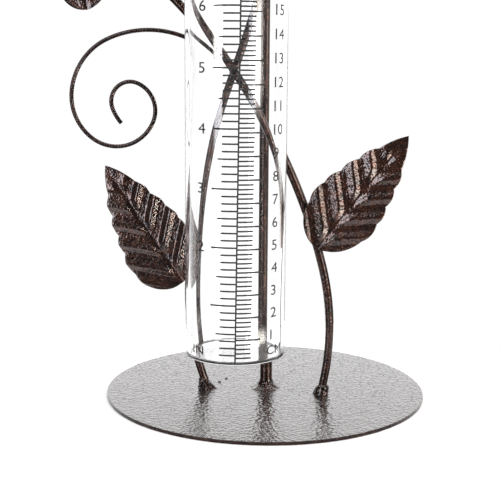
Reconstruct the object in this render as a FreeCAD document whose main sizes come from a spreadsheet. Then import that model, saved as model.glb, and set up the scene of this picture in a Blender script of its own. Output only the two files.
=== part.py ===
import FreeCAD, Part
import math
import os
import Sketcher

# Manual rain gauge: a round plate carries a rod and two bent stems with leaves and a scroll,
# and a straight-sided measuring tube hangs by its lip in a ring at the top of the rod.
# Millimetres. Origin at the middle of the plate's underside, +Z up, the tube hangs on the -Y side.

V = FreeCAD.Vector

DIMENSIONS = [
    ("plate_radius", 77.0),
    ("plate_thickness", 1.6),
    ("plate_edge_round", 0.5),
    ("rod_x", 0.6),
    ("rod_radius", 3.0),
    ("rod_length", 222.0),
    ("rod_end_round", 1.2),
    ("stem_radius", 2.0),
    ("scroll_wire_radius", 1.0),
    ("left_foot_x", -27.9),
    ("left_foot_y", -5.05),
    ("right_foot_x", 27.95),
    ("right_foot_y", -6.45),
    ("left_foot_rise", 0.75),
    ("right_foot_rise", 0.5),
    ("tube_axis_x", -9.6),
    ("tube_axis_y", -34.2),
    ("tube_bottom_z", 28.2),
    ("tube_outer_radius", 22.5),
    ("tube_wall", 2.0),
    ("tube_floor", 0.8),
    ("tube_length", 197.0),
    ("lip_radius", 27.0),
    ("lip_thickness", 3.0),
    ("lip_gap", 0.3),
    ("ring_radius", 26.0),
    ("ring_wire_radius", 2.0),
    ("leaf_length", 67.3),
    ("leaf_half_width", 17.6),
    ("leaf_gauge", 0.9),
    ("small_leaf_length", 50.0),
    ("small_leaf_half_width", 12.5),
    ("weld_height", 3.2),
    ("rod_weld_foot", 7.2),
    ("rod_weld_neck", 3.6),
    ("stem_weld_foot", 4.3),
    ("stem_weld_neck", 2.6),
    ("bead_radius", 3.0),
    ("small_bead_radius", 2.2),
    ("leaf_bead_radius", 1.5),
]

DIM = dict(DIMENSIONS)

# Headings are degrees to the left of straight up. An arc is (radius, turn), a turn to the left
# counting as positive.
LEFT_STEM_HEADING = 21.6
LEFT_STEM_ARCS = [(128.0, -24.0), (327.0, -6.6), (270.0, -12.5), (1057.0, 1.9), (95.0, 19.6)]
LEFT_STEM_LEAN = 0.0
RIGHT_STEM_HEADING = -13.9
RIGHT_STEM_ARCS = [(128.7, 28.2), (266.5, 30.6), (47.0, 56.0)]
RIGHT_STEM_LEAN = 0.97
SCROLL_START = (-23.6, 162.2)
SCROLL_HEADING = 49.7
SCROLL_ARCS = [(48.3, 64.0), (30.4, 59.0), (24.0, 60.0), (19.7, 103.0), (13.6, 91.0), (9.3, 135.0),
               (23.0, 19.5)]
# Clearance between a leaf's back and its stem.
TOUCH_GAP = 0.05
# Size that a sketch's circle is first drawn at, before its constraint takes over.
DRAFT_RADIUS = 5.0
# How near an edge must lie to a height to be picked for rounding.
PICK_NEAR = 1e-4

# A leaf's base point (x, z) and its midrib's heading.
LEFT_LEAF_BASE = (-39.1, 54.6)
LEFT_LEAF_HEADING = 34.3
RIGHT_LEAF_BASE = (25.1, 73.4)
RIGHT_LEAF_HEADING = -37.6
UPPER_LEAF_BASE = (-83.0, 182.6)
UPPER_LEAF_HEADING = 3.0
# Heights of the beads along the stems, and the upper leaf's bead (x, z).
CROSSING_Z = 155.2
ROD_WELD_X = 0.9
ROD_WELD_Z = 207.6
LEFT_LEAF_WELD_Z = 63.0
RIGHT_LEAF_WELD_Z = 80.0
UPPER_LEAF_WELD = (-79.0, 201.0)
LEAF_BEAD_DEPTH = 1.4
RING_BEAD_DROP = 0.4

# A leaf's margins as (share of the length, share of the half-width): first the middle of its
# round base, then lobes that end in notches, up to the tip. A bulge is a share of the lobe's chord.
LEFT_LEAF_MARGINS = (
    [(0.075, 0.76), (0.24, 0.98), (0.40, 0.90), (0.53, 0.77), (0.67, 0.61), (0.81, 0.39), (1.0, 0.0)],
    [(0.065, 0.52), (0.24, 0.90), (0.40, 0.90), (0.53, 0.78), (0.66, 0.61), (0.79, 0.45), (1.0, 0.0)],
)
RIGHT_LEAF_MARGINS = (
    [(0.085, 0.70), (0.24, 0.95), (0.40, 0.94), (0.53, 0.79), (0.67, 0.62), (0.81, 0.39), (1.0, 0.0)],
    [(0.075, 0.48), (0.24, 0.80), (0.40, 0.82), (0.53, 0.71), (0.66, 0.58), (0.79, 0.42), (1.0, 0.0)],
)
LOBE_BULGE = 0.13
TIP_BULGE = 0.05

doc = FreeCAD.newDocument("rain_gauge")
parts = []


def make_sheet():
    """Put the driving dimensions in a spreadsheet, one alias a row."""
    sheet = doc.addObject("Spreadsheet::Sheet", "dims")
    for row, (alias, value) in enumerate(DIMENSIONS, start=1):
        sheet.set("A%d" % row, alias)
        sheet.set("B%d" % row, str(value))
        sheet.setAlias("B%d" % row, alias)
    doc.recompute()


def cell(expression):
    """Write plain alias names in an expression as cells of the sheet."""
    words = expression.replace("(", " ( ").replace(")", " ) ").split()
    return " ".join("dims." + word if word in DIM else word for word in words)


def bind(thing, prop, expression):
    thing.setExpression(prop, cell(expression))


def keep(thing, label):
    thing.Label = label
    parts.append(thing)
    return thing


def new_body(label):
    return keep(doc.addObject("PartDesign::Body", label), label)


def new_sketch(body, role, name):
    """Add a sketch on one of the body's own origin planes."""
    plane = [f for f in body.Origin.OriginFeatures if f.Role == role][0]
    sketch = body.newObject("Sketcher::SketchObject", name)
    sketch.AttachmentSupport = (plane, [""])
    sketch.MapMode = "FlatFace"
    return sketch


def circle_sketch(body, role, name, expression):
    sketch = new_sketch(body, role, name)
    sketch.addGeometry(Part.Circle(V(0, 0, 0), V(0, 0, 1), DRAFT_RADIUS), False)
    sketch.addConstraint(Sketcher.Constraint("Coincident", 0, 3, -1, 1))
    radius = sketch.addConstraint(Sketcher.Constraint("Radius", 0, DRAFT_RADIUS))
    bind(sketch, "Constraints[%d]" % radius, expression)
    return sketch


def value_of(expression):
    """Work out a sum or difference of aliases, such as 'a + b - c'."""
    total = 0.0
    sign = 1.0
    for word in expression.split():
        if word in "+-":
            sign = 1.0 if word == "+" else -1.0
        else:
            total += sign * (DIM[word] if word in DIM else float(word))
    return total


def profile_sketch(body, name, corners):
    """Draw a closed profile on the XZ plane, each corner held by two expressions."""
    sketch = new_sketch(body, "XZ_Plane", name)
    points = [V(value_of(x), value_of(y), 0) for x, y in corners]
    for start, end in zip(points, points[1:] + points[:1]):
        sketch.addGeometry(Part.LineSegment(start, end), False)
    count = len(points)
    for i in range(count):
        sketch.addConstraint(Sketcher.Constraint("Coincident", i, 2, (i + 1) % count, 1))
    for i, (x, y) in enumerate(corners):
        for kind, axis, expression in (("DistanceX", -2, x), ("DistanceY", -1, y)):
            if expression == "0":
                sketch.addConstraint(Sketcher.Constraint("PointOnObject", i, 1, axis))
                continue
            size = value_of(expression)
            index = sketch.addConstraint(Sketcher.Constraint(kind, -1, 1, i, 1, size))
            bind(sketch, "Constraints[%d]" % index, expression)
    return sketch


def revolve(body, sketch):
    turn = body.newObject("PartDesign::Revolution", "Revolution")
    turn.Profile = sketch
    turn.ReferenceAxis = (sketch, ["V_Axis"])
    turn.Angle = 360.0
    doc.recompute()
    return turn


def pad(body, sketch, expression):
    block = body.newObject("PartDesign::Pad", "Pad")
    block.Profile = sketch
    bind(block, "Length", expression)
    doc.recompute()
    return block


def edges_at(shape, z):
    """Name the edges that lie flat at height z."""
    names = []
    for i, edge in enumerate(shape.Edges, start=1):
        box = edge.BoundBox
        if abs(box.ZMin - z) < PICK_NEAR and abs(box.ZMax - z) < PICK_NEAR:
            names.append("Edge%d" % i)
    return names


def round_edges(body, feature, z, expression):
    rounding = body.newObject("PartDesign::Fillet", "Fillet")
    rounding.Base = (feature, edges_at(feature.Shape, z))
    bind(rounding, "Radius", expression)
    doc.recompute()
    return rounding


def place(body, x, y, z):
    """Bind a body's position to three expressions."""
    for axis, expression in (("x", x), ("y", y), ("z", z)):
        if expression != "0":
            bind(body, "Placement.Base." + axis, expression)


def turned(heading, lean):
    """Return the rotation that turns local +Z to a heading and leans it forward."""
    return FreeCAD.Rotation(V(1, 0, 0), lean) * FreeCAD.Rotation(V(0, 1, 0), -heading)


def arc_path(sketch, arcs):
    """Draw a chain of tangent arcs from the sketch's origin, starting straight up."""
    point = V(0, 0, 0)
    heading = 0.0
    for radius, turn in arcs:
        side = 1.0 if turn > 0 else -1.0
        left = V(-math.cos(heading), -math.sin(heading), 0)
        centre = point + left * (side * radius)
        start = math.atan2(point.y - centre.y, point.x - centre.x)
        end = start + math.radians(turn)
        circle = Part.Circle(centre, V(0, 0, 1), radius)
        sketch.addGeometry(Part.ArcOfCircle(circle, min(start, end), max(start, end)), False)
        point = centre + V(math.cos(end), math.sin(end), 0) * radius
        heading += math.radians(turn)


def x_at(z, foot_x, foot_z, heading, arcs):
    """Return where a rising chain of tangent arcs is at height z."""
    x = foot_x
    height = foot_z
    angle = math.radians(heading)
    for radius, turn in arcs:
        side = 1.0 if turn > 0 else -1.0
        after = angle + math.radians(turn)
        rise = side * radius * (math.sin(after) - math.sin(angle))
        if height + rise >= z:
            after = math.asin(math.sin(angle) + side * (z - height) / radius)
            return x + side * radius * (math.cos(after) - math.cos(angle))
        x += side * radius * (math.cos(after) - math.cos(angle))
        height += rise
        angle = after
    return x


def bent_wire(label, radius, heading, arcs, lean):
    """Sweep a round wire along tangent arcs that start at the body's own origin."""
    body = new_body(label)
    section = circle_sketch(body, "XY_Plane", "Section", radius)
    path = new_sketch(body, "XZ_Plane", "Path")
    arc_path(path, arcs)
    doc.recompute()
    pipe = body.newObject("PartDesign::AdditivePipe", "Pipe")
    pipe.Profile = section
    pipe.Spine = (path, ["Edge%d" % (i + 1) for i in range(len(arcs))])
    pipe.Mode = "Standard"
    body.Placement = FreeCAD.Placement(V(0, 0, 0), turned(heading, lean))
    doc.recompute()
    return body


def margin(side, shares, length, width):
    """Return one side of a leaf's outline as arcs of three points, from the base to the tip."""
    points = [V(side * across * width, share * length, 0) for share, across in shares]
    base_middle = points.pop(0)
    arcs = [(V(0, 0, 0), base_middle, points[0])]
    for start, end in zip(points, points[1:]):
        chord = end - start
        bulge = TIP_BULGE if end == points[-1] else LOBE_BULGE
        out = V(chord.y, -chord.x, 0) * (side * bulge)
        arcs.append((start, (start + end) * 0.5 + out, end))
    return arcs


def leaf(label, base, y, heading, lean, margins, length_name, width_name):
    """Cut a scalloped leaf from sheet, its base at the body's origin and its tip up +Z."""
    body = new_body(label)
    sketch = new_sketch(body, "XZ_Plane", "Outline")
    length = DIM[length_name]
    width = DIM[width_name]
    for start, middle, end in margin(1.0, margins[1], length, width):
        sketch.addGeometry(Part.Arc(start, middle, end), False)
    for start, middle, end in reversed(margin(-1.0, margins[0], length, width)):
        sketch.addGeometry(Part.Arc(end, middle, start), False)
    pad(body, sketch, "leaf_gauge")
    body.Placement = FreeCAD.Placement(V(base[0], y, base[1]), turned(heading, lean))
    return body


def bead(label, shape_type, position, settings, tools):
    """Lay a weld bead and cut away the pieces it joins, so that it only touches them."""
    blob = doc.addObject(shape_type, label + "_blob")
    for prop, expression in settings:
        bind(blob, prop, expression)
    blob.Placement.Base = position
    result = blob
    for tool in tools:
        cut = doc.addObject("Part::Cut", label + "_off_" + tool.Label)
        cut.Base = result
        cut.Tool = tool
        result = cut
    doc.recompute()
    return keep(result, label)


def foot_weld(label, x, y, foot, neck, tool):
    position = V(x, y, DIM["plate_thickness"])
    settings = [("Radius1", foot), ("Radius2", neck), ("Height", "weld_height")]
    return bead(label, "Part::Cone", position, settings, [tool])


def stem_y(z, foot_y, lean):
    return foot_y - math.tan(math.radians(lean)) * (z - DIM["plate_thickness"])


make_sheet()

# Round plate that the gauge stands on.
base_plate = new_body("base_plate")
plate = pad(base_plate, circle_sketch(base_plate, "XY_Plane", "Disc", "plate_radius"), "plate_thickness")
round_edges(base_plate, plate, DIM["plate_thickness"], "plate_edge_round")

# Upright rod.
center_rod = new_body("center_rod")
upright = pad(center_rod, circle_sketch(center_rod, "XY_Plane", "Section", "rod_radius"), "rod_length")
round_edges(center_rod, upright, DIM["rod_length"], "rod_end_round")
place(center_rod, "rod_x", "0", "plate_thickness")

# Two bent stems. The left one ends against the front of the rod, and the right one crosses
# in front of both and ends behind the upper leaf.
left_stem = bent_wire("left_stem", "stem_radius", LEFT_STEM_HEADING, LEFT_STEM_ARCS, LEFT_STEM_LEAN)
place(left_stem, "left_foot_x", "left_foot_y", "plate_thickness + left_foot_rise")
right_stem = bent_wire("right_stem", "stem_radius", RIGHT_STEM_HEADING, RIGHT_STEM_ARCS, RIGHT_STEM_LEAN)
place(right_stem, "right_foot_x", "right_foot_y", "plate_thickness + right_foot_rise")

# Thin scroll that branches off the right stem.
scroll_y = stem_y(SCROLL_START[1], DIM["right_foot_y"], RIGHT_STEM_LEAN)
left_scroll = bent_wire("left_scroll", "scroll_wire_radius", SCROLL_HEADING, SCROLL_ARCS, 0.0)
left_scroll.Placement.Base = V(SCROLL_START[0], scroll_y, SCROLL_START[1])


# Three pressed leaves on the fronts of the stems.
def leaf_back(base, foot_y, lean):
    return stem_y(base[1], foot_y, lean) - DIM["stem_radius"] - TOUCH_GAP


leaf_lower_left = leaf("leaf_lower_left", LEFT_LEAF_BASE,
                       leaf_back(LEFT_LEAF_BASE, DIM["left_foot_y"], LEFT_STEM_LEAN),
                       LEFT_LEAF_HEADING, LEFT_STEM_LEAN, LEFT_LEAF_MARGINS,
                       "leaf_length", "leaf_half_width")
leaf_lower_right = leaf("leaf_lower_right", RIGHT_LEAF_BASE,
                        leaf_back(RIGHT_LEAF_BASE, DIM["right_foot_y"], RIGHT_STEM_LEAN),
                        RIGHT_LEAF_HEADING, RIGHT_STEM_LEAN, RIGHT_LEAF_MARGINS,
                        "leaf_length", "leaf_half_width")
leaf_upper_left = leaf("leaf_upper_left", UPPER_LEAF_BASE,
                       leaf_back(UPPER_LEAF_BASE, DIM["right_foot_y"], RIGHT_STEM_LEAN),
                       UPPER_LEAF_HEADING, RIGHT_STEM_LEAN, LEFT_LEAF_MARGINS,
                       "small_leaf_length", "small_leaf_half_width")

# Measuring tube: closed flat at the bottom, with a lip at its mouth.
gauge_tube = new_body("gauge_tube")
tube_profile = profile_sketch(gauge_tube, "Profile", [
    ("0", "0"),
    ("tube_outer_radius", "0"),
    ("tube_outer_radius", "tube_length - lip_thickness"),
    ("lip_radius", "tube_length - lip_thickness"),
    ("lip_radius", "tube_length"),
    ("tube_outer_radius - tube_wall", "tube_length"),
    ("tube_outer_radius - tube_wall", "tube_floor"),
    ("0", "tube_floor"),
])
revolve(gauge_tube, tube_profile)
place(gauge_tube, "tube_axis_x", "tube_axis_y", "tube_bottom_z")

# Ring that holds the tube under its lip, and the stub that joins it to the rod.
tube_ring = keep(doc.addObject("Part::Torus", "tube_ring"), "tube_ring")
bind(tube_ring, "Radius1", "ring_radius")
bind(tube_ring, "Radius2", "ring_wire_radius")
ring_height = "tube_bottom_z + tube_length - lip_thickness - lip_gap - ring_wire_radius"
place(tube_ring, "tube_axis_x", "tube_axis_y", ring_height)
ring_z = value_of(ring_height)
rod_axis = V(DIM["rod_x"], 0, ring_z)
toward_tube = V(DIM["tube_axis_x"], DIM["tube_axis_y"], ring_z) - rod_axis
reach = toward_tube.Length
toward_tube.normalize()
arm_bar = doc.addObject("Part::Cylinder", "ring_arm_bar")
bind(arm_bar, "Radius", "ring_wire_radius")
arm_bar.Height = reach - DIM["ring_radius"]
arm_bar.Placement = FreeCAD.Placement(rod_axis, FreeCAD.Rotation(V(0, 0, 1), toward_tube))
arm_off_rod = doc.addObject("Part::Cut", "ring_arm_off_rod")
arm_off_rod.Base = arm_bar
arm_off_rod.Tool = center_rod
ring_arm = keep(doc.addObject("Part::Cut", "ring_arm"), "ring_arm")
ring_arm.Base = arm_off_rod
ring_arm.Tool = tube_ring
doc.recompute()

# Weld beads: three at the feet, the rest where wires, leaves and ring meet.
foot_weld("foot_weld_center", DIM["rod_x"], 0.0, "rod_weld_foot", "rod_weld_neck", center_rod)
foot_weld("foot_weld_left", DIM["left_foot_x"], DIM["left_foot_y"],
          "stem_weld_foot", "stem_weld_neck", left_stem)
foot_weld("foot_weld_right", DIM["right_foot_x"], DIM["right_foot_y"],
          "stem_weld_foot", "stem_weld_neck", right_stem)


def left_stem_x(z):
    foot_z = DIM["plate_thickness"] + DIM["left_foot_rise"]
    return x_at(z, DIM["left_foot_x"], foot_z, LEFT_STEM_HEADING, LEFT_STEM_ARCS)


def right_stem_x(z):
    foot_z = DIM["plate_thickness"] + DIM["right_foot_rise"]
    return x_at(z, DIM["right_foot_x"], foot_z, RIGHT_STEM_HEADING, RIGHT_STEM_ARCS)


def round_bead(label, x, y, z, radius, tools):
    return bead(label, "Part::Sphere", V(x, y, z), [("Radius", radius)], tools)


left_y = DIM["left_foot_y"]
stem_front = left_y - DIM["stem_radius"]
round_bead("crossing_weld", left_stem_x(CROSSING_Z), stem_front, CROSSING_Z,
           "bead_radius", [left_stem, right_stem])
round_bead("rod_weld", ROD_WELD_X, -DIM["rod_radius"], ROD_WELD_Z, "bead_radius", [center_rod, left_stem])
round_bead("scroll_weld", SCROLL_START[0], scroll_y, SCROLL_START[1],
           "small_bead_radius", [right_stem, left_scroll])
for leaf_piece, stem, find_x, foot_y, lean, z in (
        (leaf_lower_left, left_stem, left_stem_x, left_y, LEFT_STEM_LEAN, LEFT_LEAF_WELD_Z),
        (leaf_lower_right, right_stem, right_stem_x, DIM["right_foot_y"], RIGHT_STEM_LEAN,
         RIGHT_LEAF_WELD_Z)):
    bead_y = stem_y(z, foot_y, lean) - LEAF_BEAD_DEPTH
    side = 1.0 if find_x(z) > 0 else -1.0
    bead_x = find_x(z) + side * DIM["stem_radius"]
    round_bead(leaf_piece.Label + "_weld", bead_x, bead_y, z, "leaf_bead_radius", [stem, leaf_piece])
round_bead("leaf_upper_left_weld", UPPER_LEAF_WELD[0],
           stem_y(UPPER_LEAF_WELD[1], DIM["right_foot_y"], RIGHT_STEM_LEAN) - LEAF_BEAD_DEPTH,
           UPPER_LEAF_WELD[1], "leaf_bead_radius", [right_stem, leaf_upper_left])
rear = rod_axis + toward_tube * DIM["rod_radius"]
round_bead("ring_weld_rear", rear.x, rear.y, rear.z, "bead_radius", [center_rod, ring_arm])
front = rod_axis + toward_tube * (reach - DIM["ring_radius"] - DIM["ring_wire_radius"])
round_bead("ring_weld_front", front.x, front.y, front.z - RING_BEAD_DROP,
           "small_bead_radius", [ring_arm, tube_ring])

# Check every piece and write it out.
doc.recompute()
os.makedirs("parts", exist_ok=True)
for thing in doc.Objects:
    if "Invalid" in thing.State or "Error" in thing.State:
        raise RuntimeError("%s did not build: %s" % (thing.Label, thing.State))
for thing in parts:
    if thing.Shape.isNull() or not thing.Shape.isValid() or not thing.Shape.Solids:
        raise RuntimeError("%s has no valid solid" % thing.Label)
    thing.Shape.exportStep("parts/%s.step" % thing.Label)
    print("%-20s %9.1f mm3  %s" % (thing.Label, thing.Shape.Volume, len(thing.Shape.Solids)))
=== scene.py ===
import bmesh
import bpy
import math
import numpy as np
from mathutils import Matrix, Vector, noise


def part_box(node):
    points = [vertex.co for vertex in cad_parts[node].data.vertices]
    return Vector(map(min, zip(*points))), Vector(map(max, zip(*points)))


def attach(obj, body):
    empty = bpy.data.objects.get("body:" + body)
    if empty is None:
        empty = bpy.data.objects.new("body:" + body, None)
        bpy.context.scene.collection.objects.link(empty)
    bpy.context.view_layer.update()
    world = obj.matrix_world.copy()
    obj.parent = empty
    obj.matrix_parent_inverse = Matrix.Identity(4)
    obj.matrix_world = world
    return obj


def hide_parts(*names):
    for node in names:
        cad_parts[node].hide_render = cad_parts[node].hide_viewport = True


# A table-top rain gauge in hammered brown paint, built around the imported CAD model. Metres.
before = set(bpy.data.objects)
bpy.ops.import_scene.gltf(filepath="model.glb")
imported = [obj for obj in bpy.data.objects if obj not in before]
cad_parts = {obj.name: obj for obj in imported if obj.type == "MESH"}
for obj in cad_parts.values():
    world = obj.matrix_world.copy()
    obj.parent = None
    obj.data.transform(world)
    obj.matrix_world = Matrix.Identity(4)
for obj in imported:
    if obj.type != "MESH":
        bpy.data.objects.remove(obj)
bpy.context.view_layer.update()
MM = 0.001
INCH_MM = 25.4

# Camera: where the photographer stood, in the frame's metres, its turns in degrees, and its lens in mm.
EYE = Vector((0.0614, -0.4924, 0.1575))
EYE_TURN = 8.0
EYE_TILT = 9.99
EYE_ROLL = 0.39
LENS = 75.26
SENSOR = 36.0

# Sizes read from the CAD model.
TUBE_LOW, TUBE_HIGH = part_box("gauge_tube")
PLATE_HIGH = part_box("base_plate")[1]
PLATE_RADIUS = PLATE_HIGH.x
PLATE_TOP = PLATE_HIGH.z
TUBE_X = (TUBE_LOW.x + TUBE_HIGH.x) / 2
TUBE_Y = (TUBE_LOW.y + TUBE_HIGH.y) / 2
TUBE_BOTTOM = TUBE_LOW.z
TUBE_TOP = TUBE_HIGH.z

# Sizes repeated from the CAD model, which its boxes don't give.
TUBE_RADIUS = 22.5 * MM
TUBE_WALL = 2.0 * MM
TUBE_FLOOR = 0.8 * MM
LIP_RADIUS = 27.0 * MM
LIP_THICKNESS = 3.0 * MM


# ---------------------------------------------------------------- meshes and shader nodes

# A point of an outline nearer the axis than this, in metres, is on it.
ON_AXIS = 1e-7
# Points nearer each other than this, in metres, are one point; shorter edges than NO_EDGE are removed.
SAME_POINT = 1e-6
NO_EDGE = 1e-7


def add_object(name, data):
    piece = bpy.data.objects.new(name, data)
    bpy.context.scene.collection.objects.link(piece)
    return piece


def shade(mesh, smooth):
    mesh.polygons.foreach_set("use_smooth", [smooth] * len(mesh.polygons))
    mesh.update()


def mesh_piece(name, verts, faces, smooth=True):
    mesh = bpy.data.meshes.new(name)
    mesh.from_pydata([tuple(v) for v in verts], [], faces)
    mesh.validate()
    shade(mesh, smooth)
    return add_object(name, mesh)


def clean_mesh(piece, distance=SAME_POINT, smooth=True):
    """Merge points that coincide, so that the mesh is closed where its rows meet."""
    work = bmesh.new()
    work.from_mesh(piece.data)
    bmesh.ops.remove_doubles(work, verts=work.verts, dist=distance)
    bmesh.ops.dissolve_degenerate(work, edges=work.edges, dist=NO_EDGE)
    bmesh.ops.recalc_face_normals(work, faces=work.faces)
    work.to_mesh(piece.data)
    work.free()
    shade(piece.data, smooth)


def lathe(name, outline, center, segments, smooth=True):
    """Turn an outline of (radius, height) points about an upright axis."""
    verts = []
    faces = []
    rings = []
    for radius, height in outline:
        if radius < ON_AXIS:
            rings.append([len(verts)])
            verts.append((center[0], center[1], height))
            continue
        ring = []
        for i in range(segments):
            angle = 2 * math.pi * i / segments
            x = center[0] + radius * math.cos(angle)
            y = center[1] + radius * math.sin(angle)
            ring.append(len(verts))
            verts.append((x, y, height))
        rings.append(ring)
    for low, high in zip(rings, rings[1:]):
        for i in range(segments):
            j = (i + 1) % segments
            corners = [low[i % len(low)], low[j % len(low)], high[j % len(high)], high[i % len(high)]]
            corners = list(dict.fromkeys(corners))
            if len(corners) > 2:
                faces.append(corners)
    return mesh_piece(name, verts, faces, smooth)


def fillet(center_radius, center_height, radius, first, last, count=8):
    """Sample a rounded corner of a turned outline; angles in degrees."""
    points = []
    for i in range(count + 1):
        angle = math.radians(first + (last - first) * i / count)
        points.append((center_radius + radius * math.cos(angle),
                       center_height + radius * math.sin(angle)))
    return points


def paint_piece(piece, material, body, replaces=()):
    """Give a new piece its material, the body it rides on and the CAD nodes it stands for."""
    piece.data.materials.clear()
    piece.data.materials.append(material)
    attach(piece, body)
    if replaces:
        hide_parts(*replaces)
    return piece


def new_material(name):
    material = bpy.data.materials.new(name)
    material.use_nodes = True
    return material, material.node_tree, material.node_tree.nodes["Principled BSDF"]


def add_node(tree, kind, inputs=None, **settings):
    """Add a shader node. An input is given a number, a colour or another node's socket."""
    node = tree.nodes.new(kind)
    for key, value in settings.items():
        setattr(node, key, value)
    for key, value in (inputs or {}).items():
        if isinstance(value, bpy.types.NodeSocket):
            tree.links.new(value, node.inputs[key])
        else:
            node.inputs[key].default_value = value
    return node


def math_node(tree, operation, first, second=0.0, third=0.0):
    node = add_node(tree, "ShaderNodeMath", {0: first, 1: second, 2: third}, operation=operation)
    return node.outputs[0]


def map_range(tree, value, low, high, to_low=0.0, to_high=1.0, interpolation="LINEAR"):
    """Turn the range low to high into to_low to to_high, held at its ends."""
    node = add_node(tree, "ShaderNodeMapRange",
                    {"Value": value, "From Min": low, "From Max": high, "To Min": to_low, "To Max": to_high},
                    interpolation_type=interpolation)
    return node.outputs[0]


def window(tree, value, low, high, soft):
    """Return 1 where value is between low and high, fading to 0 over the distance soft."""
    rise = map_range(tree, value, low, low + soft, interpolation="SMOOTHSTEP")
    fall = map_range(tree, value, high - soft, high, 1.0, 0.0, "SMOOTHSTEP")
    return math_node(tree, "MULTIPLY", rise, fall)


def mix_colors(tree, factor, first, second):
    """Blend two colours. Each is (red, green, blue) or another node's socket."""
    inputs = {"Factor": factor}
    for socket, color in ((6, first), (7, second)):
        inputs[socket] = color if isinstance(color, bpy.types.NodeSocket) else (*color, 1.0)
    return add_node(tree, "ShaderNodeMix", inputs, data_type="RGBA").outputs[2]


def object_place(tree):
    return add_node(tree, "ShaderNodeTexCoord").outputs["Object"]


def noise_texture(tree, where, scale, detail, roughness=0.5):
    node = add_node(tree, "ShaderNodeTexNoise",
                    {"Vector": where, "Scale": scale, "Detail": detail, "Roughness": roughness})
    return node.outputs["Fac"]


def bump(tree, height, strength, distance_mm, **inputs):
    node = add_node(tree, "ShaderNodeBump",
                    {"Strength": strength, "Distance": distance_mm * MM, "Height": height, **inputs})
    return node.outputs[0]


# ---------------------------------------------------------------- camera, light, floor and backdrop

# Soft boxes: (around from, to, height from, to, soft edge, strength, colour). Around is the angle from
# the front, in radians, growing to the right; height is the sine of the angle above the horizon.
LAMPS = [
    (-0.76, -0.37, -0.30, 0.70, 0.06, 7.5, (0.90, 0.92, 1.0)),
    (0.77, 1.23, -0.06, 0.70, 0.06, 9.0, (1.0, 0.95, 0.88)),
    (0.55, 1.50, -0.62, -0.24, 0.04, 10.0, (1.0, 0.95, 0.88)),
    (-4.0, 4.0, 0.80, 1.2, 0.08, 2.5, (1.0, 1.0, 1.0)),
]
ROOM_COLOR = (0.09, 0.09, 0.092)
# The bright wall: it starts this far round on either side, and goes on past straight behind. It stands
# on the horizon, and a white table in front of it, seen only inside the glass, starts lower.
WALL_COLOR = (1.65, 1.65, 1.66)
WALL_AROUND = 1.9
PAST_BEHIND = 4.0
WALL_SIDE_FADE = 0.5
WALL_FOOT = 0.0
TABLE_FOOT = -0.55
WALL_TOP = 0.8
WALL_FADE = 0.12

BACKDROP_WHITE = 1.01
BACKDROP_RADIUS = 12.0
BACKDROP_ROWS = 24
BACKDROP_SEGMENTS = 48
# Each glass surface that a ray goes through costs it light, which the backdrop gives back.
GLASS_LOSS = 0.06

FLOOR_RADIUS = 0.145
FLOOR_HEIGHT = -0.02 * MM
FLOOR_SEGMENTS = 192
FLOOR_COLORS = (0.92, 0.92, 0.92), (0.95, 0.95, 0.95)


def make_camera():
    data = bpy.data.cameras.new("camera")
    data.lens = LENS
    data.sensor_width = SENSOR
    camera = add_object("camera", data)
    turn = Matrix.Rotation(math.radians(EYE_TURN), 4, "Z")
    tilt = Matrix.Rotation(math.radians(90.0 - EYE_TILT), 4, "X")
    roll = Matrix.Rotation(math.radians(EYE_ROLL), 4, "Z")
    camera.matrix_world = Matrix.Translation(EYE) @ turn @ tilt @ roll
    bpy.context.scene.camera = camera


def make_world():
    """Surround the object with a studio: a bright wall behind, a top light and three boxes in front."""
    world = bpy.data.worlds.new("studio")
    world.use_nodes = True
    tree = world.node_tree
    direction = add_node(tree, "ShaderNodeTexCoord").outputs["Generated"]
    xyz = add_node(tree, "ShaderNodeSeparateXYZ", {0: direction})
    front = math_node(tree, "MULTIPLY", xyz.outputs["Y"], -1.0)
    around = math_node(tree, "ARCTAN2", xyz.outputs["X"], front)
    away = math_node(tree, "ABSOLUTE", around)
    height = xyz.outputs["Z"]
    # Bare metal sees a dark table behind it; what shows inside the glass sees the white one.
    path = add_node(tree, "ShaderNodeLightPath")
    through_glass = math_node(tree, "MINIMUM", path.outputs["Transmission Depth"], 1.0)
    table = math_node(tree, "MULTIPLY", through_glass,
                      window(tree, height, TABLE_FOOT, WALL_TOP, WALL_FADE))
    wall = math_node(tree, "MAXIMUM", table, window(tree, height, WALL_FOOT, WALL_TOP, WALL_FADE))
    behind = window(tree, away, WALL_AROUND, PAST_BEHIND, WALL_SIDE_FADE)
    total = mix_colors(tree, math_node(tree, "MULTIPLY", behind, wall), ROOM_COLOR, WALL_COLOR)
    for around_from, around_to, low, high, soft, strength, color in LAMPS:
        mask = math_node(tree, "MULTIPLY", window(tree, around, around_from, around_to, soft),
                         window(tree, height, low, high, soft))
        total = mix_colors(tree, mask, total, tuple(strength * c for c in color))
    tree.links.new(total, tree.nodes["Background"].inputs["Color"])
    bpy.context.scene.world = world


def make_floor():
    material, tree, surface = new_material("floor_paper")
    grain = noise_texture(tree, object_place(tree), scale=900.0, detail=3.0)
    tree.links.new(mix_colors(tree, grain, *FLOOR_COLORS), surface.inputs["Base Color"])
    surface.inputs["Roughness"].default_value = 0.9
    surface.inputs["Specular IOR Level"].default_value = 0.1
    outline = [(FLOOR_RADIUS, FLOOR_HEIGHT), (0, FLOOR_HEIGHT)]
    floor = lathe("floor", outline, (0, 0), FLOOR_SEGMENTS, smooth=False)
    floor.data.materials.append(material)


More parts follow.
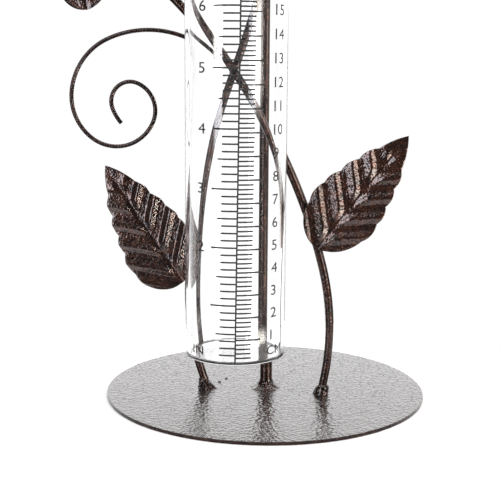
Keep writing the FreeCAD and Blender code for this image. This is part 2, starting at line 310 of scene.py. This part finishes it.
def make_backdrop():
    """Hang a plain white sphere that the camera sees, directly and through the glass.

    Rays that a surface has reflected pass through it, to the studio beyond.
    """
    material, tree, surface = new_material("backdrop_white")
    tree.nodes.remove(surface)
    path = add_node(tree, "ShaderNodeLightPath")
    strength = math_node(tree, "MULTIPLY_ADD", path.outputs["Transmission Depth"], GLASS_LOSS,
                         BACKDROP_WHITE)
    glow = add_node(tree, "ShaderNodeEmission", {"Color": (1, 1, 1, 1), "Strength": strength})
    clear = add_node(tree, "ShaderNodeBsdfTransparent")
    shown = add_node(tree, "ShaderNodeMixShader",
                     {"Fac": path.outputs["Glossy Depth"], 1: glow.outputs[0], 2: clear.outputs[0]})
    tree.links.new(shown.outputs[0], tree.nodes["Material Output"].inputs["Surface"])
    material.cycles.emission_sampling = "NONE"
    outline = []
    for i in range(BACKDROP_ROWS + 1):
        angle = math.pi * i / BACKDROP_ROWS
        outline.append((BACKDROP_RADIUS * math.sin(angle), -BACKDROP_RADIUS * math.cos(angle)))
    backdrop = lathe("backdrop", outline, (0, 0), BACKDROP_SEGMENTS)
    backdrop.data.materials.append(material)
    backdrop.visible_glossy = False
    backdrop.visible_diffuse = False
    backdrop.visible_shadow = False


# ---------------------------------------------------------------- materials

# Each hammered paint: its dark and copper colours, how metallic it is, the size of a hammer dent, the
# dents' relief and the flakes' grain in mm, and its clear coat's refractive index (lower is duller).
PAINTS = {
    "hammered_brown_paint": dict(
        dark=(0.012, 0.005, 0.0035), copper=(0.095, 0.036, 0.022), metallic=0.7,
        pattern_mm=0.9, relief_mm=0.10, grain_mm=0.04, coat_ior=1.36),
    # A darker, duller copy of the main paint for the thin scroll wire: painted shade, not a paint of its
    # own.
    "shaded_wire_brown_paint": dict(
        dark=(0.007, 0.003, 0.002), copper=(0.050, 0.019, 0.012), metallic=0.7,
        pattern_mm=0.75, relief_mm=0.09, grain_mm=0.04, coat_ior=1.27),
    "leaf_brown_paint": dict(
        dark=(0.014, 0.006, 0.0035), copper=(0.092, 0.031, 0.016), metallic=0.75,
        pattern_mm=1.05, relief_mm=0.14, grain_mm=0.04, coat_ior=1.57),
    "weld_brown_paint": dict(
        dark=(0.008, 0.0035, 0.0025), copper=(0.060, 0.023, 0.014), metallic=0.6,
        pattern_mm=1.0, relief_mm=0.07, grain_mm=0.03, coat_ior=1.38),
    "plate_brown_paint": dict(
        dark=(0.014, 0.008, 0.007), copper=(0.045, 0.023, 0.018), metallic=0.5,
        pattern_mm=1.8, relief_mm=0.29, grain_mm=0.01, coat_ior=1.41),
    # Painted shade on the plate's cut edge: a darker, duller copy of the plate's paint, not a paint of its
    # own.
    "shaded_rim_brown_paint": dict(
        dark=(0.008, 0.003, 0.0025), copper=(0.050, 0.028, 0.022), metallic=0.3,
        pattern_mm=0.9, relief_mm=0.22, grain_mm=0.03, coat_ior=1.12, specular=0.15),
}
# Scales are in cycles a metre; a patch is where its noise goes from one edge to the other.
PATCH_SCALE = 300.0
PATCH_EDGES = (0.38, 0.66)
FLAKE_SCALE = 1700.0
FLAKE_ROUGHNESS = (0.14, 0.28)
# The copper's share in a patch is this much everywhere, and up to this much more in a flake.
LEAST_COPPER = 0.35
FLAKE_COPPER = 0.9
# A dent is a rounded cell with a finer ripple over it.
DENT_SHARE = 0.75
RIPPLE_SHARE = 0.6
RIPPLE_FINER = 1.5

GLASS_TINTS = (0.985, 0.992, 0.99), (1.0, 1.0, 1.0)
INK_COLORS = (0.012, 0.012, 0.013), (0.040, 0.039, 0.039)


def hammered_paint(name, dark, copper, metallic, pattern_mm, relief_mm, grain_mm, coat_ior,
                   specular=0.5):
    """Hammered enamel: dark brown with copper patches and metal flakes under a glossy coat."""
    material, tree, surface = new_material(name)
    where = object_place(tree)
    patches = noise_texture(tree, where, PATCH_SCALE, detail=5.0, roughness=0.7)
    patch = map_range(tree, patches, *PATCH_EDGES)
    flakes = add_node(tree, "ShaderNodeTexVoronoi", {"Vector": where, "Scale": FLAKE_SCALE})
    flake = add_node(tree, "ShaderNodeSeparateColor", {0: flakes.outputs["Color"]})
    sparkle = math_node(tree, "ADD", LEAST_COPPER,
                        math_node(tree, "MULTIPLY", flake.outputs[0], FLAKE_COPPER))
    amount = math_node(tree, "MULTIPLY", patch, sparkle)
    tree.links.new(mix_colors(tree, amount, dark, copper), surface.inputs["Base Color"])
    rough = map_range(tree, flake.outputs[1], 0.0, 1.0, *FLAKE_ROUGHNESS)
    tree.links.new(rough, surface.inputs["Roughness"])
    dent_scale = 1000.0 / pattern_mm
    cells = add_node(tree, "ShaderNodeTexVoronoi",
                     {"Vector": where, "Scale": dent_scale, "Smoothness": 0.25}, feature="SMOOTH_F1")
    ripple = noise_texture(tree, where, dent_scale * RIPPLE_FINER, detail=2.0)
    dents = math_node(tree, "ADD", math_node(tree, "MULTIPLY", cells.outputs["Distance"], DENT_SHARE),
                      math_node(tree, "MULTIPLY", ripple, RIPPLE_SHARE))
    hammer = bump(tree, dents, strength=1.0, distance_mm=relief_mm)
    fine = bump(tree, flake.outputs[2], strength=0.7, distance_mm=grain_mm, Normal=hammer)
    tree.links.new(fine, surface.inputs["Normal"])
    tree.links.new(hammer, surface.inputs["Coat Normal"])
    surface.inputs["Metallic"].default_value = metallic
    surface.inputs["Specular IOR Level"].default_value = specular
    surface.inputs["Coat Weight"].default_value = 1.0
    surface.inputs["Coat Roughness"].default_value = 0.04
    surface.inputs["Coat IOR"].default_value = coat_ior
    return material


def clear_glass():
    material, tree, surface = new_material("clear_glass")
    swirl = noise_texture(tree, object_place(tree), scale=35.0, detail=2.0)
    tree.links.new(mix_colors(tree, swirl, *GLASS_TINTS), surface.inputs["Base Color"])
    smear = map_range(tree, swirl, low=0.55, high=0.8, to_high=0.02)
    tree.links.new(smear, surface.inputs["Roughness"])
    tree.links.new(bump(tree, swirl, strength=0.5, distance_mm=0.05), surface.inputs["Normal"])
    surface.inputs["Transmission Weight"].default_value = 1.0
    surface.inputs["IOR"].default_value = 1.5
    return material


def scale_ink():
    material, tree, surface = new_material("scale_ink")
    wear = noise_texture(tree, object_place(tree), scale=2200.0, detail=3.0)
    tree.links.new(mix_colors(tree, wear, *INK_COLORS), surface.inputs["Base Color"])
    matt = map_range(tree, wear, low=0.0, high=1.0, to_low=0.45, to_high=0.75)
    tree.links.new(matt, surface.inputs["Roughness"])
    tree.links.new(bump(tree, wear, strength=0.4, distance_mm=0.01), surface.inputs["Normal"])
    surface.inputs["Specular IOR Level"].default_value = 0.15
    return material


# ---------------------------------------------------------------- the plate

PLATE_EDGE = 0.25 * MM
# A ring of points this share of the way out keeps the faces' shading flat up to the edge.
FACE_SHARE = 0.97
# The rim, which gets the painted shade, is where the surface's normal points up or down by less than this.
SHADED_RIM_SLOPE = 0.6
PLATE_SEGMENTS = 256


def make_plate(face_material, shaded_rim_material):
    """Turn the plate with its edge broken round, and paint shade onto its cut edge: darker than its faces.
    """
    inner = PLATE_RADIUS - PLATE_EDGE
    outline = [(0, 0), (FACE_SHARE * inner, 0)]
    outline += fillet(inner, PLATE_EDGE, PLATE_EDGE, -90, 0)
    outline += fillet(inner, PLATE_TOP - PLATE_EDGE, PLATE_EDGE, 0, 90)
    outline += [(FACE_SHARE * inner, PLATE_TOP), (0, PLATE_TOP)]
    piece = lathe("painted_base_plate", outline, (0, 0), PLATE_SEGMENTS)
    paint_piece(piece, face_material, "stand", ["base_plate"])
    # The rim's faces get the darker copy of the paint, which is painted shade.
    piece.data.materials.append(shaded_rim_material)
    for polygon in piece.data.polygons:
        polygon.material_index = int(abs(polygon.normal.z) < SHADED_RIM_SLOPE)


# ---------------------------------------------------------------- leaves

# The CAD leaves' margins, left and right: (share of the length, share of the half-width), first
# the middle of the round base, then the lobes' notches, up to the tip.
LEFT_LEAF = (
    [(0.075, 0.76), (0.24, 0.98), (0.40, 0.90), (0.53, 0.77), (0.67, 0.61), (0.81, 0.39), (1.0, 0.0)],
    [(0.065, 0.52), (0.24, 0.90), (0.40, 0.90), (0.53, 0.78), (0.66, 0.61), (0.79, 0.45), (1.0, 0.0)],
)
RIGHT_LEAF = (
    [(0.085, 0.70), (0.24, 0.95), (0.40, 0.94), (0.53, 0.79), (0.67, 0.62), (0.81, 0.39), (1.0, 0.0)],
    [(0.075, 0.48), (0.24, 0.80), (0.40, 0.82), (0.53, 0.71), (0.66, 0.58), (0.79, 0.42), (1.0, 0.0)],
)
# How far a lobe bulges out between two notches, as a share of the distance between them.
LOBE_BULGE = 0.13
TIP_BULGE = 0.05
SHEET = 0.9 * MM
LEAF_ROWS = 190
LEAF_COLUMNS = 48
# Rows are closer together at the round base: at 0 they would be evenly spaced.
ROW_EASE = 0.45
# The sheet thins toward its sides and its tip, as if its paint rounded the cut edge.
SIDE_POWER = 14
TIP_EDGE = 0.985
EDGE_THINNING = 0.8

# Veins: how steeply they climb from the midrib, and in shares of the length, how often they repeat and
# where the first ridge is.
VEIN_SLOPE = 0.95
VEIN_PERIOD = 0.178
FIRST_RIDGE = 0.088
# The pressed section from one ridge to the next toward the tip: the ridge's height in mm, phases, the
# share of the height at each phase, and the slope by which the leaf's right side falls back.
VEINS_STEEP_TO_TIP = (
    1.15,
    (0.0, 0.05, 0.07, 0.29, 0.32, 0.64, 0.92, 0.97, 1.0),
    (1.0, 0.985, 0.96, 0.06, 0.0, 0.19, 0.95, 0.99, 1.0),
    0.0,
)
VEINS_STEEP_TO_BASE = (
    1.45,
    (0.0, 0.05, 0.37, 0.38, 0.69, 0.70, 0.94, 0.95, 1.0),
    (1.0, 1.0, 0.02, 0.0, 0.0, 0.02, 0.98, 1.0, 1.0),
    0.035,
)
# The veins fade in past the base and out before the tip (shares of the length), and rise from the
# midrib over this distance.
VEINS_START = (-0.13, -0.05)
VEINS_END = 0.90
VEINS_FADE = 0.14
VEINS_RISE = 3.6 * MM
# The midrib's groove, the margins' cup toward the viewer, the lengthwise bow, and the hammer's dents.
GROOVE_END = 0.97
GROOVE_FADE = 0.2
GROOVE_WIDTH = 1.1 * MM
GROOVE_DEPTH_MM = 0.12
CUP_MM = 0.9
BOW_MM = 0.5
BOW_TURN = 2.8
DENT_SCALE = 420.0
DENT_DEPTH = 0.07 * MM
SEED_STEP = 0.1

# Where each leaf is: the middle of its base in mm, its heading in degrees from upright toward the left,
# its lean toward the front, and its length and half-width in mm. The seed varies its bow and its dents.
LEAVES = [
    dict(node_name="leaf_lower_left", margins=LEFT_LEAF,
         base=(-39.1, -7.6, 54.6), heading=34.3, lean=0.0,
         length_mm=67.3, half_width_mm=17.6, veins=VEINS_STEEP_TO_BASE, seed=1.0),
    dict(node_name="leaf_lower_right", margins=RIGHT_LEAF,
         base=(25.1, -10.15, 73.4), heading=-37.6, lean=0.97,
         length_mm=67.3, half_width_mm=17.6, veins=VEINS_STEEP_TO_TIP, seed=2.0),
    dict(node_name="leaf_upper_left", margins=LEFT_LEAF,
         base=(-83.0, -12.05, 182.6), heading=3.0, lean=0.97,
         length_mm=50.0, half_width_mm=12.5, veins=VEINS_STEEP_TO_TIP, seed=3.0),
]


def arc_points(start, middle, end, count=24):
    """Sample the circular arc through three points of the plane."""
    (ax, ay), (bx, by), (cx, cy) = start, middle, end
    a2 = ax * ax + ay * ay
    b2 = bx * bx + by * by
    c2 = cx * cx + cy * cy
    d = 2 * (ax * (by - cy) + bx * (cy - ay) + cx * (ay - by))
    ux = (a2 * (by - cy) + b2 * (cy - ay) + c2 * (ay - by)) / d
    uy = (a2 * (cx - bx) + b2 * (ax - cx) + c2 * (bx - ax)) / d
    radius = math.hypot(ax - ux, ay - uy)
    first = math.atan2(ay - uy, ax - ux)
    turn = (math.atan2(cy - uy, cx - ux) - first) % (2 * math.pi)
    halfway = (math.atan2(by - uy, bx - ux) - first) % (2 * math.pi)
    if halfway > turn:
        turn -= 2 * math.pi
    angles = [first + turn * i / count for i in range(count + 1)]
    return [(ux + radius * math.cos(a), uy + radius * math.sin(a)) for a in angles]


def margin(shares, length, half_width):
    """Return one margin as (along, across) samples, from the base to the tip."""
    points = [(share * length, across * half_width) for share, across in shares]
    base_middle = points.pop(0)
    samples = arc_points((0.0, 0.0), base_middle, points[0], count=60)
    for start, end in zip(points, points[1:]):
        bulge = TIP_BULGE if end == points[-1] else LOBE_BULGE
        middle = ((start[0] + end[0]) / 2 - (end[1] - start[1]) * bulge,
                  (start[1] + end[1]) / 2 + (end[0] - start[0]) * bulge)
        samples += arc_points(start, middle, end)[1:]
    along = np.maximum.accumulate([max(p[0], 0.0) for p in samples])
    return along, np.array([max(p[1], 0.0) for p in samples])


def smooth_step(low, high, value):
    t = np.clip((value - low) / (high - low), 0, 1)
    return t * t * (3 - 2 * t)


def leaf_relief(along, across, length, half_width, veins, seed):
    """Return how far the pressed sheet stands toward the viewer, in metres."""
    vein_height, phases, shares, turn = veins
    share = along / length
    out = np.abs(across) / half_width
    vein = share - VEIN_SLOPE * np.abs(across) / length
    phase = (vein - FIRST_RIDGE) / VEIN_PERIOD % 1.0
    ridge = np.interp(phase, phases, shares)
    fade = smooth_step(0.0, VEINS_FADE, VEINS_END - share) * smooth_step(*VEINS_START, vein)
    rise = smooth_step(0.0, 1.0, np.abs(across) / VEINS_RISE)
    groove = -GROOVE_DEPTH_MM * np.exp(-((across / GROOVE_WIDTH) ** 2))
    groove *= smooth_step(0.0, GROOVE_FADE, GROOVE_END - share)
    cup = CUP_MM * out * out * (1 - share) + BOW_MM * np.sin(share * BOW_TURN + seed)
    height = vein_height * ridge * fade * rise + groove + cup - turn * across / MM
    return height * MM


def make_leaf(node_name, margins, base, heading, lean, length_mm, half_width_mm, veins, seed, material):
    """Press a leaf from sheet: a corrugated, grooved plate with the CAD leaf's outline."""
    length = length_mm * MM
    half_width = half_width_mm * MM
    wide = 2 * LEAF_COLUMNS + 1
    left_along, left_across = margin(margins[0], length, half_width)
    right_along, right_across = margin(margins[1], length, half_width)
    ease = np.linspace(0, 1, LEAF_ROWS + 1)
    along = length * ((1 - ROW_EASE) * ease + ROW_EASE * (1 - np.cos(ease * np.pi / 2)))
    spread = np.linspace(-1, 1, wide)
    left = np.interp(along, left_along, left_across)
    right = np.interp(along, right_along, right_across)
    across = np.where(spread[None, :] < 0, left[:, None], right[:, None]) * spread[None, :]
    along = np.repeat(along[:, None], wide, axis=1)
    relief = leaf_relief(along, across, length, half_width, veins, seed)
    for i in range(LEAF_ROWS + 1):
        for j in range(wide):
            spot = Vector((across[i, j], along[i, j], seed * SEED_STEP)) * DENT_SCALE
            relief[i, j] += DENT_DEPTH * noise.noise(spot)
    side = np.abs(spread)[None, :] ** SIDE_POWER
    tip = np.clip((along / length - TIP_EDGE) / (1 - TIP_EDGE), 0, 1)
    half = 0.5 * SHEET * np.sqrt(1 - EDGE_THINNING * np.maximum(side, tip))
    front = np.stack([across, -(relief + half), along], axis=-1).reshape(-1, 3)
    back = np.stack([across, -(relief - half), along], axis=-1).reshape(-1, 3)
    count = (LEAF_ROWS + 1) * wide
    faces = []
    for i in range(LEAF_ROWS):
        for j in range(wide - 1):
            a = i * wide + j
            faces.append((a, a + 1, a + wide + 1, a + wide))
            faces.append((count + a, count + a + wide, count + a + wide + 1, count + a + 1))
    for i in range(LEAF_ROWS):
        a = i * wide
        b = a + wide - 1
        faces.append((a, a + wide, count + a + wide, count + a))
        faces.append((b + wide, b, count + b, count + b + wide))
    for j in range(wide - 1):
        top = LEAF_ROWS * wide + j
        faces.append((j + 1, j, count + j, count + j + 1))
        faces.append((top, top + 1, count + top + 1, count + top))
    piece = mesh_piece("pressed_" + node_name, np.concatenate([front, back]), faces)
    turn = Matrix.Rotation(math.radians(lean), 4, "X") @ Matrix.Rotation(math.radians(-heading), 4, "Y")
    piece.data.transform(Matrix.Translation(Vector([c * MM for c in base])) @ turn)
    clean_mesh(piece)
    paint_piece(piece, material, "stand", [node_name])


# ---------------------------------------------------------------- welds

# The collars at the feet, in mm: where the wire meets the plate, how far it leans to the right for each
# mm up, its radius, the collar's radius at its toe and neck, its height, and how lumpy it is.
FOOT_WELDS = [
    dict(node_name="foot_weld_center", foot=(0.6, 0.0), lean=0.0, wire=3.0,
         toe=7.4, neck=3.2, height=5.2, lump=0.25, seed=1.7),
    dict(node_name="foot_weld_left", foot=(-27.9, -5.05), lean=-0.395, wire=2.0,
         toe=4.6, neck=2.9, height=5.0, lump=0.6, seed=5.2),
    dict(node_name="foot_weld_right", foot=(27.95, -6.45), lean=0.247, wire=2.0,
         toe=3.8, neck=3.3, height=5.0, lump=0.15, seed=8.9),
]
FOOT_SEGMENTS = 72
FOOT_ROWS = 26
# The toe spreads as this power of the height left, and its outline waves by this share.
TOE_CURVE = 2.6
TOE_WAVE = 0.55
# Above this share of the height the collar rounds in, to this share of the wire's radius.
SHOULDER = 0.55
WIRE_GRIP = 0.95
# The lumps' noise: how fast it changes around and up the collar, and its coarse and fine scales.
NOISE_AROUND = 1.3
NOISE_UP = 1.6
COARSE = 1.5
FINE = 3.4
FINE_SHARE = 0.5
# The lumps swell and die away again over the height divided by this.
LUMPS_RATE = 1.15
SUNK_MM = 0.02

# The other beads: (CAD node, radii in mm, seed).
BEADS = [
    ("scroll_weld", (1.5, 1.3, 2.5), 3.1),
    ("crossing_weld", (2.2, 2.4, 2.9), 6.4),
    ("rod_weld", (2.6, 2.4, 2.9), 9.2),
    ("leaf_lower_left_weld", (1.4, 1.4, 1.5), 2.3),
    ("leaf_lower_right_weld", (1.4, 1.4, 1.5), 4.8),
    ("leaf_upper_left_weld", (1.4, 1.4, 1.5), 7.7),
    ("ring_weld_rear", (2.9, 2.9, 2.6), 1.2),
    ("ring_weld_front", (2.9, 2.9, 2.6), 5.5),
]
BEAD_COARSE = 1.4
BEAD_FINE = 2.7
BIG_LUMPS = 0.22
SMALL_LUMPS = 0.10
# Specks of weld metal on the plate beside the left foot: (name, place and radii in mm, seed).
SPATTER = [
    ("weld_spatter_1", (-20.9, 10.7), (0.75, 1.0, 0.45), 0.0),
    ("weld_spatter_2", (-23.4, 4.4), (0.8, 0.7, 0.45), 4.0),
]
SPATTER_LIFT = 0.1 * MM


def make_foot_weld(node_name, foot, lean, wire, toe, neck, height, lump, seed, material):
    """Build a weld's collar: it climbs the wire from a thin spread toe, with lumps and runs."""
    verts = []
    faces = []
    for k in range(FOOT_ROWS + 1):
        t = k / FOOT_ROWS
        up = height * t
        for i in range(FOOT_SEGMENTS):
            angle = 2 * math.pi * i / FOOT_SEGMENTS
            spot = Vector((math.cos(angle) * NOISE_AROUND + seed, math.sin(angle) * NOISE_AROUND,
                           t * NOISE_UP))
            wave = noise.noise(spot * COARSE) + FINE_SHARE * noise.noise(spot * FINE)
            spread = neck + (toe - neck) * (1 - t) ** TOE_CURVE * (1 + TOE_WAVE * wave)
            spread += lump * wave * math.sin(math.pi * min(t * LUMPS_RATE, 1.0))
            shoulder = max(t - SHOULDER, 0.0) / (1 - SHOULDER)
            spread *= math.sqrt(1 - shoulder ** 2 * (1 - (WIRE_GRIP * wire / spread) ** 2))
            x = foot[0] + lean * up + spread * math.cos(angle)
            y = foot[1] + spread * math.sin(angle)
            verts.append((x * MM, y * MM, PLATE_TOP + (up - SUNK_MM) * MM))
    for k in range(FOOT_ROWS):
        for i in range(FOOT_SEGMENTS):
            low = k * FOOT_SEGMENTS
            high = low + FOOT_SEGMENTS
            j = (i + 1) % FOOT_SEGMENTS
            faces.append((low + i, low + j, high + j, high + i))
    faces.append(tuple(reversed(range(FOOT_SEGMENTS))))
    faces.append(tuple(range(FOOT_ROWS * FOOT_SEGMENTS, (FOOT_ROWS + 1) * FOOT_SEGMENTS)))
    piece = mesh_piece(node_name + "_bead", verts, faces)
    paint_piece(piece, material, "stand", [node_name])


def make_bead(name, center, radii_mm, seed, material, replaces=()):
    """Build a lumpy bead of weld metal."""
    radii = [r * MM for r in radii_mm]
    work = bmesh.new()
    bmesh.ops.create_icosphere(work, subdivisions=4, radius=1.0)
    for vert in work.verts:
        spot = vert.co * BEAD_COARSE + Vector((seed, 0, 0))
        swell = 1 + BIG_LUMPS * noise.noise(spot) + SMALL_LUMPS * noise.noise(spot * BEAD_FINE)
        stretched = Vector((vert.co.x * radii[0], vert.co.y * radii[1], vert.co.z * radii[2]))
        vert.co = Vector(center) + stretched * swell
    mesh = bpy.data.meshes.new(name)
    work.to_mesh(mesh)
    work.free()
    shade(mesh, True)
    paint_piece(add_object(name, mesh), material, "stand", replaces)


def middle_of(node_name):
    low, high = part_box(node_name)
    return (low + high) / 2


# ---------------------------------------------------------------- the measuring tube

TUBE_EDGE = 0.5 * MM
TUBE_COVE = 0.9 * MM
LIP_EDGE = 1.2 * MM
LIP_COVE = 0.8 * MM
TUBE_SEGMENTS = 256
TUBE_ROWS = 12


def make_tube(material):
    """Turn the closed tube from one outline: floor, outside wall, lip, inside wall and floor again."""
    inner = TUBE_RADIUS - TUBE_WALL
    height = TUBE_TOP - TUBE_BOTTOM
    under = TUBE_TOP - LIP_THICKNESS
    outline = [(0.0, TUBE_BOTTOM)]
    outline += fillet(TUBE_RADIUS - TUBE_EDGE, TUBE_BOTTOM + TUBE_EDGE, TUBE_EDGE, -90, 0)
    outline += [(TUBE_RADIUS, TUBE_BOTTOM + height * i / TUBE_ROWS) for i in range(1, TUBE_ROWS)]
    outline += fillet(TUBE_RADIUS + LIP_COVE, under - LIP_COVE, LIP_COVE, 180, 90)
    outline += fillet(LIP_RADIUS - LIP_EDGE, under + LIP_EDGE, LIP_EDGE, -90, 0)
    outline += fillet(LIP_RADIUS - LIP_EDGE, TUBE_TOP - LIP_EDGE, LIP_EDGE, 0, 90)
    outline += fillet(inner + LIP_EDGE, TUBE_TOP - LIP_EDGE, LIP_EDGE, 90, 180)
    outline += [(inner, TUBE_TOP - height * i / TUBE_ROWS) for i in range(1, TUBE_ROWS)]
    outline += fillet(inner - TUBE_COVE, TUBE_BOTTOM + TUBE_FLOOR + TUBE_COVE, TUBE_COVE, 0, -90)
    outline += [(0.0, TUBE_BOTTOM + TUBE_FLOOR)]
    piece = lathe("measuring_tube", outline, (TUBE_X, TUBE_Y), TUBE_SEGMENTS)
    clean_mesh(piece)
    paint_piece(piece, material, "tube", ["gauge_tube"])


# ---------------------------------------------------------------- the printed scale

# Angles are degrees round the tube's axis from +X, heights are from the scale's zero. The print isn't
# quite parallel to the tube: it turns a little on its way up.
SPINE_ANGLE = -81.2
SCALE_TWIST = 5.2
SCALE_TOP = 180.0 * MM
SCALE_ZERO = TUBE_BOTTOM + 1.5 * MM
CENTIMETRES = 17
INCHES = 7
SPINE_LOW = -0.6 * MM
# The ink is a thin layer just off the glass.
INK_INSIDE = TUBE_RADIUS + 0.03 * MM
INK_OUTSIDE = TUBE_RADIUS + 0.09 * MM
SAME_INK_POINT = 1e-8
LINE = 0.72 * MM
# A bent line has a point at least every so many degrees.
LINE_STEP = 1.5
# A tick starts a hair outside the spine's edge, so that their faces don't overlap.
TICK_START = 1.02
# Ticks: (name, side of the spine, step, reaches: every so many ticks, this many mm long).
TICKS = [
    ("scale_centimetre_ticks", 1, 2.0 * MM, ((1, 6.9), (5, 11.2))),
    ("scale_inch_ticks", -1, INCH_MM / 8 * MM, ((1, 7.2), (4, 9.0), (8, 11.5))),
]
FIGURE_STRETCH = 1.3
FIGURE_HEIGHT = 4.5 * MM
UNIT_HEIGHT = 3.9 * MM
UNIT_LIFT = 2.2 * MM
# Where the figures' and the units' left edges are, in degrees from the spine.
CENTIMETRE_FIGURES = 43.1
INCH_FIGURES = -48.1
CENTIMETRE_UNIT = 38.0
INCH_UNIT = -55.0
# The share of a figure's height that is below its tick.
CENTIMETRE_DROP = 0.25
INCH_DROP = 0.5


def twist(z):
    return SCALE_TWIST * z / SCALE_TOP


def degrees_for(arc):
    return math.degrees(arc / TUBE_RADIUS)


def tube_point(radius, angle, z):
    """Return the point at a radius and an angle, in radians, and a height on the scale."""
    return TUBE_X + radius * math.cos(angle), TUBE_Y + radius * math.sin(angle), SCALE_ZERO + z


def bent_block(verts, faces, angle_from, angle_to, low, high):
    """Add a closed strip of ink that follows the tube, between two angles and two heights."""
    steps = max(1, int(math.ceil(abs(angle_to - angle_from) / LINE_STEP)))
    start = len(verts)
    for k in range(steps + 1):
        for radius, z in ((INK_INSIDE, low), (INK_OUTSIDE, low), (INK_OUTSIDE, high), (INK_INSIDE, high)):
            angle = math.radians(angle_from + (angle_to - angle_from) * k / steps + twist(z))
            verts.append(tube_point(radius, angle, z))
    for k in range(steps):
        a = start + 4 * k
        for i in range(4):
            j = (i + 1) % 4
            faces.append((a + i, a + 4 + i, a + 4 + j, a + j))
    faces.append((start + 3, start + 2, start + 1, start))
    end = start + 4 * steps
    faces.append((end, end + 1, end + 2, end + 3))


def make_ticks(material):
    half_line = degrees_for(LINE) / 2
    verts, faces = [], []
    bent_block(verts, faces, SPINE_ANGLE - half_line, SPINE_ANGLE + half_line, SPINE_LOW, SCALE_TOP)
    spine = mesh_piece("scale_spine", verts, faces, smooth=False)
    paint_piece(spine, material, "tube")
    for name, side, step, reaches in TICKS:
        verts, faces = [], []
        # The tiny addition keeps a last tick that rounding would drop.
        for index in range(1, int(SCALE_TOP / step + 1e-6) + 1):
            reach = max(length for every, length in reaches if index % every == 0)
            z = index * step
            near = SPINE_ANGLE + side * half_line * TICK_START
            far = SPINE_ANGLE + side * degrees_for(reach * MM)
            bent_block(verts, faces, min(near, far), max(near, far), z - LINE / 2, z + LINE / 2)
        ticks = mesh_piece(name, verts, faces, smooth=False)
        clean_mesh(ticks, SAME_INK_POINT, smooth=False)
        paint_piece(ticks, material, "tube")


def make_label(name, text, angle, height, size, material):
    """Print a number or a unit, bent round the tube. The angle is its left edge, the size its height."""
    curve = bpy.data.curves.new(name, "FONT")
    curve.body = text
    curve.extrude = 0.5
    curve.resolution_u = 4
    holder = add_object(name + "_outline", curve)
    bpy.context.view_layer.update()
    evaluated = holder.evaluated_get(bpy.context.evaluated_depsgraph_get())
    mesh = bpy.data.meshes.new_from_object(evaluated)
    bpy.data.objects.remove(holder)
    points = np.array([v.co for v in mesh.vertices])
    low, high = points.min(axis=0), points.max(axis=0)
    scale = size / (high[1] - low[1])
    across = (points[:, 0] - low[0]) * scale * FIGURE_STRETCH
    up = (points[:, 1] - low[1]) * scale
    # The extruded figure's front and back become the ink's outside and inside.
    depth = np.where(points[:, 2] > 0, INK_OUTSIDE, INK_INSIDE)
    turn = math.radians(angle + twist(height)) + across / TUBE_RADIUS
    for vert, radius, a, z in zip(mesh.vertices, depth, turn, up):
        vert.co = tube_point(radius, a, height + z)
    piece = add_object(name, mesh)
    clean_mesh(piece, SAME_INK_POINT, smooth=False)
    paint_piece(piece, material, "tube")


def make_labels(material):
    for centimetre in range(1, CENTIMETRES + 1):
        make_label("centimetre_%d" % centimetre, str(centimetre), SPINE_ANGLE + CENTIMETRE_FIGURES,
                   centimetre * 10 * MM - FIGURE_HEIGHT * CENTIMETRE_DROP, FIGURE_HEIGHT, material)
    for inch in range(1, INCHES + 1):
        make_label("inch_%d" % inch, str(inch), SPINE_ANGLE + INCH_FIGURES,
                   inch * INCH_MM * MM - FIGURE_HEIGHT * INCH_DROP, FIGURE_HEIGHT, material)
    make_label("unit_centimetre", "CM", SPINE_ANGLE + CENTIMETRE_UNIT, UNIT_LIFT, UNIT_HEIGHT, material)
    make_label("unit_inch", "IN", SPINE_ANGLE + INCH_UNIT, UNIT_LIFT, UNIT_HEIGHT, material)


# ---------------------------------------------------------------- build

bpy.context.scene.view_settings.view_transform = "Standard"
make_camera()
make_world()
make_floor()
make_backdrop()

paints = {name: hammered_paint(name, **recipe) for name, recipe in PAINTS.items()}
paint = paints["hammered_brown_paint"]
leaf_paint = paints["leaf_brown_paint"]
weld_paint = paints["weld_brown_paint"]
ink = scale_ink()

# The scroll wire takes the darker copy of the paint, which is painted shade; every other CAD piece takes the
# main paint.
shaded_paints_by_node = {"left_scroll": paints["shaded_wire_brown_paint"]}
for node_name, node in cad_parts.items():
    node.data.materials.clear()
    node.data.materials.append(shaded_paints_by_node.get(node_name, paint))

make_plate(paints["plate_brown_paint"], paints["shaded_rim_brown_paint"])
for leaf in LEAVES:
    make_leaf(material=leaf_paint, **leaf)
for weld in FOOT_WELDS:
    make_foot_weld(material=weld_paint, **weld)
for node_name, radii, seed in BEADS:
    make_bead(node_name + "_bead", middle_of(node_name), radii, seed, weld_paint, [node_name])
for name, (x, y), radii, seed in SPATTER:
    make_bead(name, (x * MM, y * MM, PLATE_TOP + SPATTER_LIFT), radii, seed, paint)

make_tube(clear_glass())
make_ticks(ink)
make_labels(ink)
